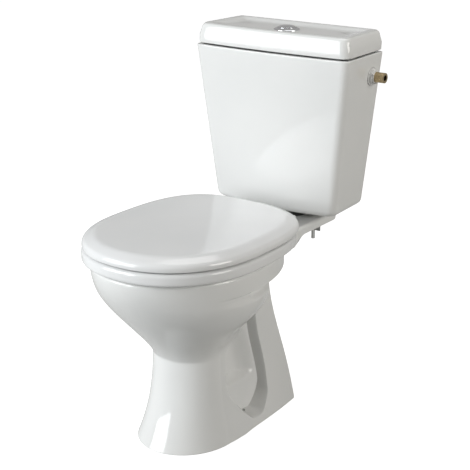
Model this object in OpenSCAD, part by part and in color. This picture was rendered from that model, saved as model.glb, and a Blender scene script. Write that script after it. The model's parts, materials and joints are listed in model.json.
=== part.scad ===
// Close-coupled toilet: vitreous china pan and cistern, plastic seat, flush and fill fittings.
// Millimetres, +Z up, +X towards the water inlet, +Y towards the wall.
// The origin is on the floor, midway between the two floor-fixing holes.

/* [Overall] */
// Distance from the floor fixings back to the wall
wall_y = 318; // [290:1:350]
// Height of the rim and of the shelf that carries the cistern
rim_z = 387; // [370:1:400]
// Distance from the floor fixings forward to the rim's front
rim_front = 312; // [290:1:330]
// Thickness of the china walls
china_t = 11; // [9:0.5:13]

/* [Pan foot and column] */
// Half width of the foot
foot_half = 102; // [92:1:112]
// Distance from the floor fixings forward to the foot's front
foot_front = 218; // [205:1:230]
// Half width of the column at its waist
waist_half = 76; // [70:1:84]
// Distance from the floor fixings forward to the waist's front
waist_front = 172; // [160:1:185]
// Height of the waist
waist_z = 180; // [165:1:195]
// How sharply the foot flares
flare_power = 2.6; // [1.5:0.1:3.5]
// Distance from the floor fixings back to the foot's rear edge
foot_rear = 150; // [130:1:165]
// Half width of the rear side walls
wing_half = 86; // [78:1:92]
// Thickness of the rear side walls
wing_t = 13; // [11:0.5:16]

/* [Bowl] */
// Half width of the rim
rim_half = 171; // [160:1:182]
// Distance from the floor fixings forward to the widest part of the rim
rim_wide_y = 115; // [100:1:130]
// Length of the rim's curve behind the widest part
rim_back = 232; // [215:1:250]
// Half width of the shelf
shelf_half = 99; // [90:1:108]
// Thickness of the shelf
shelf_t = 17; // [14:1:22]
// Gap between the shelf's rear edge and the wall
shelf_wall_gap = 26; // [20:1:34]
// How far back the haunch under the shelf reaches
haunch_reach = 165; // [155:1:175]
// Width of the rim's flat top
rim_w = 46; // [40:1:52]
// Depth of the rim's inner curtain
rim_drop = 38; // [30:1:46]

/* [Side recess] */
// Depth of the front of the recess
recess_depth = 27; // [18:1:30]
// Depth of the rear channel of the recess
channel_depth = 38; // [30:1:40]
// Depth left at the ridge between them
ridge_depth = 16; // [10:1:22]

/* [Floor fixings] */
// Distance between the two floor-fixing holes
fixing_pitch = 120; // [110:1:128]
// Radius of a floor-fixing hole
fixing_r = 4.5; // [3.5:0.1:5.5]
// Thickness of the ledge under a fixing
ledge_t = 16; // [12:1:18]

/* [Waste outlet] */
// Height of the outlet's centre
outlet_z = 190; // [180:1:200]
// Outer radius of the outlet spigot
outlet_r = 51; // [48:0.5:53]
// Wall of the outlet spigot
outlet_t = 7; // [6:0.5:9]
// Distance from the floor fixings back to the outlet's end
outlet_end = 112; // [104:1:122]
// Length of the outlet that a pan connector pushes onto
outlet_length = 32; // [25:1:36]
// Radius of the trap's waterway
trap_r = 29; // [26:1:31]

/* [Cistern] */
// Height of the cistern's underside
cistern_z = 403; // [402:0.5:410]
// Height of the cistern's top edge
cistern_top = 736; // [700:1:770]
// Half width at the top of the front
cistern_half_top = 187; // [175:1:200]
// Half width at the bottom of the front
cistern_half_bottom = 148; // [140:1:160]
// Depth at the top, wall to front corner
cistern_depth_top = 153; // [145:1:165]
// Depth at the bottom, wall to front corner
cistern_depth_bottom = 128; // [124:1:134]
// How far the front bows out at the top
bow_top = 8; // [4:1:12]
// How far the front bows out at the bottom
bow_bottom = 19; // [12:1:22]
// How much narrower each side is at the wall
back_taper = 6; // [2:1:10]
// Corner radius seen from above
cistern_corner_r = 14; // [10:1:20]
// Thickness of the cistern's floor
cistern_floor_t = 13; // [11:1:16]

/* [Cistern lid] */
// Gap between cistern and lid
lid_gap = 3; // [1:0.5:4]
// Height of the lid
lid_h = 41; // [36:1:46]
// Lid set in from the cistern's outline
lid_inset = 3; // [0:1:5]
// How far the lid's sides lean in
lid_lean = 9; // [5:1:12]
// Width of the raised border round the lid's top
lid_border = 16; // [12:1:22]
// Depth of the tray in the lid's top
tray_depth = 6; // [3:1:8]
// Thickness of the lid
lid_t = 12; // [9:1:13]

/* [Seat] */
// Half width of the seat
seat_half = 180; // [172:1:188]
// Length of the seat's curve ahead of its widest part
seat_front = 207; // [198:1:216]
// Length of the seat's curve behind its widest part
seat_back = 221; // [214:1:226]
// How far the lid reaches back beyond the ring
lid_reach = 14; // [12:1:16]
// Height of the buffers that the ring rests on
buffer_h = 4; // [3:0.5:6]
// Thickness of the seat ring
ring_t = 25; // [20:1:28]
// Gap between ring and lid
seat_gap = 2; // [1:0.5:3]
// Thickness of the seat lid
seat_lid_t = 25; // [18:1:28]
// Width of the seat ring
ring_w = 66; // [58:1:70]

/* [Seat hinge] */
// Distance between the two hinges
hinge_pitch = 155; // [145:1:160]
// Distance from the floor fixings back to the hinge pins
hinge_y = 118; // [117:1:120]
// Height of the hinge pins above the rim
hinge_up = 25; // [25:0.5:27]
// Radius of a hinge pin
hinge_pin_r = 4; // [3:0.5:5]
// Radius of a hinge knuckle
knuckle_r = 9; // [8:0.5:10]
// Radius of a hinge bolt
hinge_bolt_r = 4; // [3:0.5:5]

/* [Flush button] */
// Distance from the wall to the button's centre
button_to_wall = 84; // [76:1:92]
// Radius of the button's bezel
bezel_r = 27.5; // [25:0.5:30]
// Radius of the push button
button_r = 19; // [17:0.5:21]
// Travel of the push button
button_travel = 6; // [4:0.5:7]

/* [Flush valve] */
// Radius of the flush valve's threaded tail
tail_r = 30; // [28:0.5:32]
// Bore of the flush valve's tail
tail_bore_r = 24; // [22:0.5:26]
// Radius of the flush valve's tower
tower_r = 37; // [34:1:40]
// Height of the tower's cap above the cistern's floor
tower_h = 222; // [200:1:240]
// Radius of the overflow tube
overflow_r = 12; // [10:0.5:14]
// Lift of the plunger
plunger_lift = 9; // [7:0.5:9]

/* [Coupling] */
// Distance between the two bolts that hold the cistern
coupling_pitch = 150; // [140:1:156]
// Radius of a coupling bolt
coupling_bolt_r = 4; // [3:0.5:5]

/* [Water inlet] */
// Height of the inlet below the cistern's top edge
inlet_drop = 47; // [40:1:60]
// Distance from the wall to the inlet
inlet_to_wall = 38; // [32:1:44]
// Outer radius of the inlet's thread
inlet_r = 10.5; // [8.3:0.1:10.5]
// Bore of the inlet
inlet_bore_r = 6; // [4:0.5:7]
// Length of thread left for the supply
inlet_out = 20; // [14:1:26]
// Length of the float's arm
arm_len = 206; // [202:1:212]
// Radius of the float
float_r = 26; // [22:1:27]
// Height of the float
float_h = 62; // [50:1:70]
// Angle that the empty float hangs at
float_fall = 22; // [15:1:26]

/* [Fits] */
// Clearance of a bolt in its hole
bolt_gap = 1.5; // [1:0.1:2.5]
// Clearance between a pin and what turns on it
pin_gap = 0.06; // [0.02:0.01:0.1]
// Clearance between parts that move past each other
slide_gap = 0.6; // [0.4:0.1:1]

/* [Hidden] */
$fn = 48;

// ---- shared helpers -------------------------------------------------------------------------

function lerp(a, b, t) = a + (b - a) * t;
function clamp01(t) = min(1, max(0, t));
function ease(t, start_slope = 0) =
    let (u = clamp01(t)) start_slope * (u * u * u - 2 * u * u + u) + 3 * u * u - 2 * u * u * u;
function soft_max(a, b, k) = (a + b + sqrt((a - b) * (a - b) + k * k)) / 2;
// A half outline runs from the front centre to the back centre at x >= 0
function whole(half) = concat(half,
    [for (i = [len(half) - 2 : -1 : 1]) [-half[i][0], half[i][1], half[i][2]]]);

// Skin through rings of equal length, capped at both ends; rings turn anticlockwise from above
// and rise with their order
module skin(rings) {
    n = len(rings[0]);
    m = len(rings);
    points = [for (ring = rings) for (p = ring) p];
    sides = [for (j = [0 : m - 2]) for (i = [0 : n - 1])
        let (k = (i + 1) % n) each [
            [j * n + i, (j + 1) * n + i, (j + 1) * n + k],
            [j * n + i, (j + 1) * n + k, j * n + k]]];
    low = [for (i = [1 : n - 2]) [0, i, i + 1]];
    high = [for (i = [1 : n - 2]) [(m - 1) * n, (m - 1) * n + i + 1, (m - 1) * n + i]];
    polyhedron(points, concat(sides, low, high), convexity = 12);
}

// Skin through rings that close on themselves, the last one joined to the first
module skin_loop(rings) {
    n = len(rings[0]);
    m = len(rings);
    points = [for (ring = rings) for (p = ring) p];
    sides = [for (j = [0 : m - 1]) for (i = [0 : n - 1])
        let (k = (i + 1) % n, l = (j + 1) % m) each [
            [j * n + i, l * n + i, l * n + k],
            [j * n + i, l * n + k, j * n + k]]];
    polyhedron(points, sides, convexity = 8);
}

module rod(r, z0, z1) translate([0, 0, z0]) cylinder(r = r, h = z1 - z0);
module tube(r, bore, z0, z1) difference() {
    rod(r, z0, z1);
    rod(bore, z0 - 1, z1 + 1);
}
module pair(pitch) for (side = [-1, 1]) translate([side * pitch / 2, 0, 0]) children();
module along_x() rotate([0, 90, 0]) children();
module along_y() rotate([-90, 0, 0]) children();
module hex_rod(r, z0, z1) translate([0, 0, z0]) cylinder(r = r, h = z1 - z0, $fn = 6);
module wing_nut(bore, z1, reach) difference() {
    union() {
        rod(bore + 5, z1 - 9, z1);
        translate([-reach, -1.5, z1 - 13]) cube([2 * reach, 3, 12]);
    }
    rod(bore, z1 - 20, z1 + 1);
}

// ---- derived values -------------------------------------------------------------------------

shelf_end = wall_y - shelf_wall_gap;
shelf_low = rim_z - shelf_t;
flush_y = wall_y - button_to_wall;
cistern_floor_z = cistern_z + cistern_floor_t;
lid_z = cistern_top + lid_gap;
lid_top = lid_z + lid_h;
tray_z = lid_top - tray_depth;
ring_z = rim_z + buffer_h;
ring_top = ring_z + ring_t;
seat_lid_z = ring_top + seat_gap;
hinge_z = rim_z + hinge_up;
flush_hole_r = tail_r + 3;
coupling_hole_r = coupling_bolt_r + bolt_gap;
hinge_hole_r = hinge_bolt_r + bolt_gap;

// ---- pan ------------------------------------------------------------------------------------

foot_wide_y = -101;
bowl_z0 = waist_z - 2;
bowl_z1 = rim_z - 52;

// Half width and front of the outer skin at height z
function column_half(z) =
    waist_half + (foot_half - waist_half) * pow(clamp01(1 - z / (waist_z + 20)), flare_power);
function outer_half(z) =
    column_half(z) + (rim_half - waist_half) * ease((z - bowl_z0) / (bowl_z1 - bowl_z0));
function outer_front(z) =
    -waist_front - (foot_front - waist_front) * pow(clamp01(1 - z / (waist_z + 20)), flare_power)
    - (rim_front - waist_front) * ease((z - waist_z) / (rim_z - waist_z), 0.95);
function wide_y(z) = lerp(foot_wide_y, -rim_wide_y, ease((z - waist_z) / 60));

// Rear edge of the skin: the side walls lean forward, then a haunch runs out under the shelf
haunch_z = 290;
lean_end = 66;
function lean_y(z) = foot_rear - (foot_rear - lean_end) * ease(z / (haunch_z + 40), 0.3);
function rear_y(z) = z < haunch_z ? lean_y(z) : z >= shelf_low ? shelf_end
    : lerp(lean_y(haunch_z), haunch_reach, pow((z - haunch_z) / (shelf_low - haunch_z), 1.5));
function wing_x(z) = wing_half + 6 * pow(clamp01(1 - z / 90), 2) - 8 * ease((z - 60) / 230);

// Front and rear edges of the side recess, and how much of it there is at height z
function recess_front(z) = z < 160 ? lerp(-14, -88, ease((z - ledge_t) / 100, 1.6))
    : lerp(-88, -52, ease((z - 175) / 65));
function recess_rear(z) = lerp(22, 50, ease((z - ledge_t) / 45, 1.5)) - 34 * ease((z - 80) / 170);
function recess_share(z) = ease((z - ledge_t) / 8) * ease((252 - z) / 30);
// The ridge between the front pocket and the rear channel swings forward near the floor
function ridge_y(z) = let (t = 1 - clamp01((z - 32) / 80)) 33 - 63 * t * t * t - 16 * ease((z - 130) / 110);
function pocket(z) = recess_depth * ease((z - 50) / 60);
function channel(z) = channel_depth + 0.6 * (column_half(z) - waist_half);
// Depth of the recess at y and z
function recess(y, z) =
    let (rf = recess_front(z), rr = recess_rear(z), ry = min(ridge_y(z), rr - 20),
        floor_d = y < ry ? lerp(pocket(z), ridge_depth, ease((y - ry + 18) / 18))
            : lerp(ridge_depth, channel(z), ease((y - ry) / 12)),
        low = lerp(channel(z), floor_d, ease((z - 30) / 12)))
    recess_share(z) * low * clamp01((y - rf) / 7) * clamp01((rr - y) / 9);

// Outer half width at a place behind the widest part
function rim_x(y) = let (t = clamp01((y + rim_wide_y) / rim_back))
    soft_max(rim_half * sqrt(1 - t * t), shelf_half, 14);
function bowl_x(y, z) =
    let (b = lerp(88, 150, ease((z - bowl_z0) / 110)), t = clamp01((y - wide_y(z)) / b))
    outer_half(z) * sqrt(1 - t * t);
function wall_x(y, z) = lerp(column_half(z), wing_x(z),
    pow(clamp01((y - wide_y(z)) / (rear_y(z) - wide_y(z))), 3));
function body_x(y, z) =
    soft_max(bowl_x(y, z), wall_x(y, z), 16 * clamp01((y - wide_y(z)) / 50));
function side_x(y, z) = z > bowl_z1
    ? lerp(body_x(y, bowl_z1), rim_x(y), ease((z - bowl_z1) / 14)) : body_x(y, z);

// Half outline of the skin at height z
nose_n = 13;
recess_n = 14;
wing_n = 7;
function skin_half(z) =
    let (a = outer_half(z), f = outer_front(z), c = wide_y(z),
        rf = recess_front(z), rr = recess_rear(z), back = rear_y(z), round_r = 10,
        xr = side_x(back - round_r, z))
    concat(
        [for (i = [0 : nose_n - 1]) let (t = 90 * i / nose_n)
            [a * sin(t), c - (c - f) * cos(t), z]],
        [for (i = [0 : 2]) let (y = lerp(c, rf, i / 3)) [side_x(y, z), y, z]],
        [for (i = [0 : recess_n - 1]) let (u = i / recess_n, y = lerp(rf, rr, u))
            [side_x(y, z) - recess(y, z), y, z]],
        [for (i = [0 : wing_n - 1]) let (y = lerp(rr, back - round_r, i / (wing_n - 1)))
            [side_x(y, z), y, z]],
        [[xr - 3, back - 3, z], [xr - round_r, back, z], [xr / 2, back, z], [0, back, z]]);

// Half outline of the bowl's inside: an oval, its points spread to face the skin's
half_n = nose_n + 3 + recess_n + wing_n + 4;
function inner_half(z, half, front, back) =
    let (c = -rim_wide_y + (z < 240 ? (240 - z) * 0.35 : 0))
    [for (i = [0 : half_n - 1]) let (t = i < nose_n ? 90 * i / nose_n
            : 90 + 90 * (i - nose_n) / (half_n - 1 - nose_n))
        [half * sin(t), c - (t < 90 ? (c - front) : (back - c)) * cos(t), z]];

mouth_half = rim_half - rim_w;
mouth_front = -rim_front + rim_w;
mouth_back = 30;
curtain_z = rim_z - rim_drop;
curtain_t = 9;
roof_z = rim_z - china_t - 2;
// Inside of the bowl's wall at height z, above the sump
function bowl_inside(z, back) =
    inner_half(z, outer_half(z) - china_t - 5, outer_front(z) + china_t + 4, back);
// Height, half width, front and back of each oval from the bowl down to the trap
sump_ovals = [[240, 88, -204, 4], [222, 64, -188, -6], [205, 42, -160, -14], [188, 35, -134, -20],
    [160, 32, -116, -26], [130, 29, -106, -34], [108, 21, -94, -46]];
pan_rings = concat(
    [for (z = [0, 8, ledge_t, ledge_t + 5, ledge_t + 10, 38, 52, 68, 86, 104, 124, 146, 166, 184,
        198, 210, 220, 230, 240, 252, 266, 280, 290, 302, 314, 326, 335, 340, 345, 349,
        shelf_low - 14, shelf_low - 5, shelf_low - 0.05, shelf_low, rim_z - 6]) whole(skin_half(z))],
    [whole([for (p = skin_half(rim_z)) [p[0] * 0.985, p[1] > 0 ? p[1] - 2 : p[1] * 0.992, rim_z]])],
    [whole(inner_half(rim_z, mouth_half, mouth_front, mouth_back)),
    whole(inner_half(rim_z - 5, mouth_half - 2, mouth_front + 2, mouth_back - 2)),
    whole(inner_half(curtain_z, mouth_half - 2, mouth_front + 2, mouth_back - 2)),
    whole(inner_half(curtain_z, mouth_half + curtain_t, mouth_front - curtain_t, mouth_back + 6)),
    whole(inner_half(roof_z, mouth_half + curtain_t, mouth_front - curtain_t, mouth_back + 6)),
    whole(bowl_inside(roof_z, mouth_back + 14)),
    whole(bowl_inside(curtain_z - 6, mouth_back + 12)),
    whole(bowl_inside(320, mouth_back + 6)),
    whole(bowl_inside(290, 28)),
    whole(bowl_inside(262, 16))],
    [for (o = sump_ovals) whole(inner_half(o[0], o[1], o[2], o[3]))]);

// Hollow of the foot and column: height, half width, half length and centre of each oval
hollow_ovals = [[-1, 88, 90, -118], [40, 78, 68, -118], [86, 69, 53, -118], [94, 63, 45, -117],
    [96, 54, 15, -146], [176, 45, 13, -147]];
module column_hollow() {
    steps = 36;
    skin([for (r = hollow_ovals) [for (i = [0 : steps - 1]) let (t = 360 * i / steps)
        [r[1] * sin(t), r[3] - r[2] * cos(t), r[0]]]]);
}

// Open space between the rear side walls, and the hollow under the trap
wing_inside = wing_half - wing_t - 6;
trap_back = 58;
module rear_space() {
    translate([-wing_inside, 0, 0]) rotate([90, 0, 90]) linear_extrude(2 * wing_inside)
        polygon([[trap_back, -1], [foot_rear + 40, -1], [foot_rear + 40, haunch_z], [96, haunch_z],
            [72, haunch_z - 22], [trap_back, haunch_z - 54]]);
    translate([-24, -30, -1]) cube([48, 62, 84]);
}

// Flush way: a hump under the shelf that leads from the cistern's outlet to the rim
way_half = 30;
way_z = rim_z - 34;
module way(grow, z0, z1, front) {
    translate([0, flush_y, 0]) rod(way_half + grow, z0, z1);
    translate([-way_half - grow, front, z0]) cube([2 * (way_half + grow), flush_y - front, z1 - z0]);
}
// Room for the seat's nuts under the shelf, reached from behind
nut_pocket_r = hinge_bolt_r + 9.5;
nut_pocket_h = 26;
trap_start = [0, -62, 128];
trap_rise = -50;
module pan() color([0.95, 0.95, 0.94]) difference() {
    union() {
        difference() {
            skin(pan_rings);
            column_hollow();
            rear_space();
        }
        way(9, way_z - 9, rim_z - 4, 100);
        translate([0, 0, outlet_z]) along_y() {
            rod(outlet_r, trap_back, outlet_end);
            rod(outlet_r + 2, trap_back - 18, outlet_end - outlet_length);
        }
    }
    translate([0, 0, outlet_z]) along_y() rod(outlet_r - outlet_t, trap_back - 22, outlet_end + 1);
    translate(trap_start) rotate([trap_rise, 0, 0]) rod(trap_r, 0, 122);
    way(0, way_z, shelf_low + 2, mouth_back - 6);
    translate([0, flush_y, 0]) {
        rod(flush_hole_r, shelf_low, rim_z + 1);
        pair(coupling_pitch) rod(coupling_hole_r, rim_z - 60, rim_z + 1);
    }
    translate([0, hinge_y, 0]) pair(hinge_pitch) {
        rod(hinge_hole_r, shelf_low - 1, rim_z + 1);
        rod(nut_pocket_r, shelf_low - nut_pocket_h, shelf_low);
    }
    for (side = [0, 1]) mirror([side, 0, 0])
        translate([hinge_pitch / 2 - nut_pocket_r, hinge_y, shelf_low - nut_pocket_h])
            cube([1.4 * nut_pocket_r, haunch_reach - hinge_y + 10, nut_pocket_h]);
    pair(fixing_pitch) rod(fixing_r, -1, ledge_t + 12);
}

// ---- cistern --------------------------------------------------------------------------------

// How far up the cistern a height is, 0 at the underside and 1 at the top edge
function up(z) = (z - cistern_z) / (cistern_top - cistern_z);
function cistern_half(z) = lerp(cistern_half_bottom, cistern_half_top, up(z));
function cistern_depth(z) = lerp(cistern_depth_bottom, cistern_depth_top, up(z));
function cistern_bow(z) = lerp(bow_bottom, bow_top, up(z));

// Half outline of a box against the wall with a bowed front and rounded front corners,
// drawn in by inset on every side and by back_inset at the wall
front_n = 6;
corner_n = 5;
function box_half(z, half, depth, bow, inset, back_inset, r) =
    let (h = half - inset, fy = wall_y - depth + inset, by = wall_y - back_inset,
        hb = h - back_taper, rb = 4)
    concat(
        [for (i = [0 : front_n - 1]) let (x = (h - r) * i / front_n)
            [x, fy - bow * (1 - pow(x / h, 2)), z]],
        [for (i = [0 : corner_n]) let (t = 90 * i / corner_n)
            [h - r + r * sin(t), fy + r - r * cos(t) - bow * 0.14 * (1 - i / corner_n), z]],
        [[lerp(h, hb, 0.33), lerp(fy, by, 0.33), z], [lerp(h, hb, 0.66), lerp(fy, by, 0.66), z],
            [hb, by - rb, z], [hb - rb, by, z], [hb / 2, by, z], [0, by, z]]);
function cistern_half_ring(z, inset = 0, back_inset = 0, r = cistern_corner_r) =
    box_half(z, cistern_half(z), cistern_depth(z), cistern_bow(z), inset, back_inset, r);

cistern_rings = concat(
    [for (i = [0 : 5]) let (t = 90 * i / 5, round_r = 16)
        whole(cistern_half_ring(cistern_z + round_r * (1 - cos(t)), round_r * (1 - sin(t)),
            round_r * (1 - sin(t)) * 0.8))],
    [for (z = [cistern_z + 80, cistern_z + 200, cistern_top - 3]) whole(cistern_half_ring(z))],
    [whole(cistern_half_ring(cistern_top, 2, 1)),
    whole(cistern_half_ring(cistern_top, china_t - 2, china_t - 2, 8)),
    whole(cistern_half_ring(cistern_top - 3, china_t, china_t, 8)),
    whole(cistern_half_ring(cistern_z + 200, china_t, china_t, 8)),
    whole(cistern_half_ring(cistern_z + 40, china_t, china_t, 8)),
    whole(cistern_half_ring(cistern_floor_z + 3, china_t + 2, china_t + 2, 8)),
    whole(cistern_half_ring(cistern_floor_z, china_t + 7, china_t + 7, 8))]);

module cistern() color([0.96, 0.96, 0.95]) difference() {
    skin(cistern_rings);
    translate([0, flush_y, 0]) {
        rod(flush_hole_r, cistern_z - 1, cistern_floor_z + 1);
        pair(coupling_pitch) rod(coupling_hole_r, cistern_z - 1, cistern_floor_z + 1);
    }
    translate([0, wall_y - inlet_to_wall, cistern_top - inlet_drop])
        along_x() {
            rod(inlet_shank_r + bolt_gap, cistern_half_bottom - 10, cistern_half_top + 20);
            rod(flange_r + 1, spot_x, cistern_half_top + 20);
        }
}

// ---- cistern lid ----------------------------------------------------------------------------

function lid_half_ring(z, inset, back_inset, r = cistern_corner_r + 2) =
    box_half(z, cistern_half_top - lid_inset, cistern_depth_top - lid_inset, bow_top, inset,
        back_inset, r);
lid_edge = 7;
lid_rings = concat(
    [whole(lid_half_ring(lid_top - tray_depth - lid_t, china_t + 12, china_t + 12, 8)),
    whole(lid_half_ring(lid_top - tray_depth - lid_t - 4, china_t + 6, china_t + 6, 8)),
    whole(lid_half_ring(lid_z, china_t, china_t, 8)),
    whole(lid_half_ring(lid_z, 2, 1)),
    whole(lid_half_ring(lid_z + 2, 0, 0)),
    whole(lid_half_ring(lid_top - 18, 2, 0))],
    [for (i = [0 : 4]) let (t = 90 * i / 4)
        whole(lid_half_ring(lid_top - lid_edge * (1 - sin(t)),
            lid_lean - 4 + lid_edge * (1 - cos(t)), lid_edge * (1 - cos(t)) * 0.7))],
    [whole(lid_half_ring(lid_top, lid_lean + lid_border, lid_border)),
    whole(lid_half_ring(lid_top - tray_depth * 0.6, lid_lean + lid_border + 7, lid_border + 7)),
    whole(lid_half_ring(tray_z, lid_lean + lid_border + 20, lid_border + 18))]);

sleeve_r = 21;
module cistern_lid() color([0.96, 0.96, 0.95]) difference() {
    skin(lid_rings);
    translate([0, flush_y, 0]) rod(sleeve_r + bolt_gap, lid_z, lid_top + 1);
}

// ---- coupling -------------------------------------------------------------------------------

coupling_gap = cistern_z - rim_z;
seal_t = 4;
plate_t = 2;
plate_top = shelf_low - 0.1;
module at_flush() translate([0, flush_y, 0]) children();

nut_r = tail_r + 10;
module coupling_washer() color([0.2, 0.2, 0.21]) at_flush() difference() {
    tube(nut_r + 17, nut_r + 1, rim_z, cistern_z);
    translate([0, 0, cistern_z]) rotate_extrude() translate([nut_r + 17, 0]) circle(r = 3);
}
module coupling_bolts() color([0.8, 0.8, 0.8]) at_flush() pair(coupling_pitch) {
    rod(coupling_bolt_r, shelf_low - 34, cistern_floor_z + seal_t + 1);
    hex_rod(coupling_bolt_r * 2, cistern_floor_z + seal_t, cistern_floor_z + seal_t + 6);
}
module coupling_seals() color([0.2, 0.2, 0.21]) at_flush() pair(coupling_pitch)
    tube(coupling_bolt_r + 9, coupling_bolt_r, cistern_floor_z, cistern_floor_z + seal_t);
module coupling_plates() color([0.8, 0.8, 0.8]) at_flush() pair(coupling_pitch)
    tube(coupling_bolt_r + 7, coupling_bolt_r, plate_top - plate_t, plate_top);
module coupling_wing_nuts() color([0.8, 0.8, 0.8]) at_flush() pair(coupling_pitch)
    wing_nut(coupling_bolt_r, plate_top - plate_t, coupling_bolt_r + 13);

// ---- flush valve ----------------------------------------------------------------------------

flange_t = 10;
base_top = cistern_floor_z + flange_t;
tower_top = base_top + tower_h;
lever_z = tower_top + 10;
lever_half_t = 2;
stem_top = lever_z + lever_half_t + slide_gap + 4;
collar_r = overflow_r + 8;
window_n = 4;
module flush_base() color([0.9, 0.9, 0.9]) at_flush() difference() {
    union() {
        rod(tower_r + 6, cistern_floor_z, base_top);
        rod(tail_r, rim_z - 14, cistern_floor_z + 1);
    }
    rod(tail_bore_r, rim_z - 20, base_top + 1);
}
module flush_nut() color([0.9, 0.9, 0.9]) at_flush() difference() {
    hex_rod(nut_r, cistern_z - 10, cistern_z);
    rod(tail_r, cistern_z - 11, cistern_z + 1);
}
lever_pivot_x = 30;
lever_pin_r = 2;
module flush_tower() color([0.86, 0.9, 0.93]) at_flush() difference() {
    union() {
        difference() {
            rod(tower_r, base_top, tower_top);
            rod(tower_r - 3, base_top - 1, tower_top - 5);
            for (i = [0 : window_n - 1]) rotate(45 + i * 360 / window_n)
                for (level = [0, 1]) translate([0, -11, base_top + 8 + level * 104])
                    cube([tower_r + 5, 22, 92]);
        }
        for (side = [-1, 1]) translate([lever_pivot_x - 4, side * 6 - 2, tower_top - 1])
            cube([8, 4, lever_z - tower_top + 5]);
    }
    rod(overflow_r + slide_gap, base_top, tower_top + 1);
    translate([lever_pivot_x, 0, lever_z]) along_y() rod(lever_pin_r, -20, 20);
}
seal_r = tail_bore_r + 7;
module flush_plunger() color([0.3, 0.45, 0.75]) at_flush() difference() {
    union() {
        rod(overflow_r, base_top + 3, stem_top);
        rod(collar_r, stem_top - 4, stem_top);
        rod(seal_r - 3, base_top + 3, base_top + 8);
    }
    rod(overflow_r - 2, base_top - 1, stem_top + 1);
}
module flush_seal() color([0.75, 0.2, 0.15]) at_flush()
    tube(seal_r, overflow_r - 2, base_top, base_top + 3);

// Lever: a pin near its middle, its inner tip under the collar, its outer end under the rod
lever_in = lever_pivot_x - overflow_r - 1.6;
lever_out = 14;
module flush_lever() color([0.92, 0.92, 0.92]) at_flush() translate([lever_pivot_x, 0, lever_z])
    difference() {
        union() {
            translate([-lever_in, -3, -lever_half_t])
                cube([lever_in + lever_out, 6, 2 * lever_half_t]);
            along_y() rod(4, -3, 3);
        }
        along_y() rod(lever_pin_r + pin_gap, -4, 4);
    }
module lever_pin() color([0.8, 0.8, 0.8]) at_flush()
    translate([lever_pivot_x, 0, lever_z]) along_y() rod(lever_pin_r, -10, 10);

// ---- flush button ---------------------------------------------------------------------------

bezel_t = 3;
lid_under = tray_z - lid_t;
sleeve_low = lid_under - 16;
guide_low = sleeve_low + 4;
button_top = tray_z + 9;
rod_low = lever_z + lever_half_t + slide_gap;
foot_z = stem_top + plunger_lift + button_travel + 2;
module button_bezel() color([0.8, 0.8, 0.82]) at_flush() translate([0, 0, tray_z])
    rotate_extrude() polygon([[sleeve_r - 1, 0], [bezel_r, 0], [bezel_r, 1],
        [bezel_r - 1.5, 2.4], [bezel_r - 4.5, 4], [button_r + slide_gap + 0.6, 4.6],
        [button_r + slide_gap, 4], [button_r + slide_gap, bezel_t - 1], [sleeve_r - 1, bezel_t - 1]]);
module button_sleeve() color([0.93, 0.93, 0.93]) at_flush() difference() {
    rod(sleeve_r, sleeve_low, tray_z);
    rod(button_r + slide_gap, guide_low, tray_z + 1);
    rod(5, sleeve_low - 1, guide_low + 1);
}
module button_nut() color([0.93, 0.93, 0.93]) at_flush() difference() {
    hex_rod(sleeve_r + 9, lid_under - 8, lid_under);
    rod(sleeve_r, lid_under - 9, lid_under + 1);
}
cap_low = tray_z - 6;
module push_button() color([0.8, 0.8, 0.82]) at_flush() translate([0, 0, cap_low])
    rotate_extrude() polygon(concat([[0, 0], [button_r, 0], [button_r, button_top - cap_low - 4]],
        [for (i = [1 : 8]) let (t = 90 * i / 8)
            [button_r * cos(t), button_top - cap_low - 4 + 4 * sin(t)]]));
foot_x = lever_pivot_x + lever_out - 2;
module push_rod() color([0.92, 0.92, 0.92]) at_flush() {
    rod(3, foot_z, cap_low);
    translate([-4, -4, foot_z]) cube([foot_x + 8, 8, 4]);
    translate([foot_x, 0, 0]) rod(2, rod_low, foot_z + 1);
}
spring_r = 8;
spring_low = guide_low;
module button_spring() color([0.75, 0.75, 0.75]) at_flush()
    tube(spring_r, spring_r - 1.5, spring_low + 0.3, cap_low - 0.3);

// ---- water inlet and fill valve ---------------------------------------------------------------

inlet_z = cistern_top - inlet_drop;
inlet_y = wall_y - inlet_to_wall;
// Outer and inner face of the cistern's side at the inlet
function side_at(z, y, inset) = cistern_half(z) - inset
    - back_taper * (y - wall_y + cistern_depth(z)) / cistern_depth(z);
inlet_face = side_at(inlet_z, inlet_y, 0);
inlet_inner = side_at(inlet_z, inlet_y, china_t);
side_lean = atan((cistern_half_top - cistern_half_bottom) / (cistern_top - cistern_z));
flange_r = 18;
body_low_x = inlet_inner - 62;
// Flat spot that the flange seats on, cut into the leaning side
spot_x = inlet_face - flange_r * tan(side_lean) - 0.2;
nuts_end = spot_x + 13;
inlet_shank_r = inlet_r + 0.4;
module at_inlet() translate([0, inlet_y, inlet_z]) along_x() children();

module inlet_tail() color([0.78, 0.66, 0.4]) at_inlet() difference() {
    union() {
        rod(inlet_shank_r, inlet_inner - 24, nuts_end);
        rod(inlet_r, nuts_end - 1, nuts_end + inlet_out);
    }
    rod(inlet_bore_r, inlet_inner - 25, nuts_end + inlet_out + 1);
}
module inlet_flange_nut() color([0.95, 0.95, 0.95]) at_inlet() difference() {
    union() {
        rod(flange_r, spot_x, spot_x + 4);
        rod(flange_r - 3, spot_x + 3, spot_x + 9);
    }
    rod(inlet_shank_r, spot_x - 1, nuts_end);
}
module inlet_lock_ring() color([0.95, 0.95, 0.95]) at_inlet() difference() {
    hex_rod(flange_r - 3.5, spot_x + 9, nuts_end);
    rod(inlet_shank_r, spot_x, nuts_end + 1);
}
module inlet_seal() color([0.2, 0.2, 0.21]) at_inlet()
    tube(flange_r, inlet_shank_r, inlet_inner - 6.5, inlet_inner - 2.5);
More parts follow.
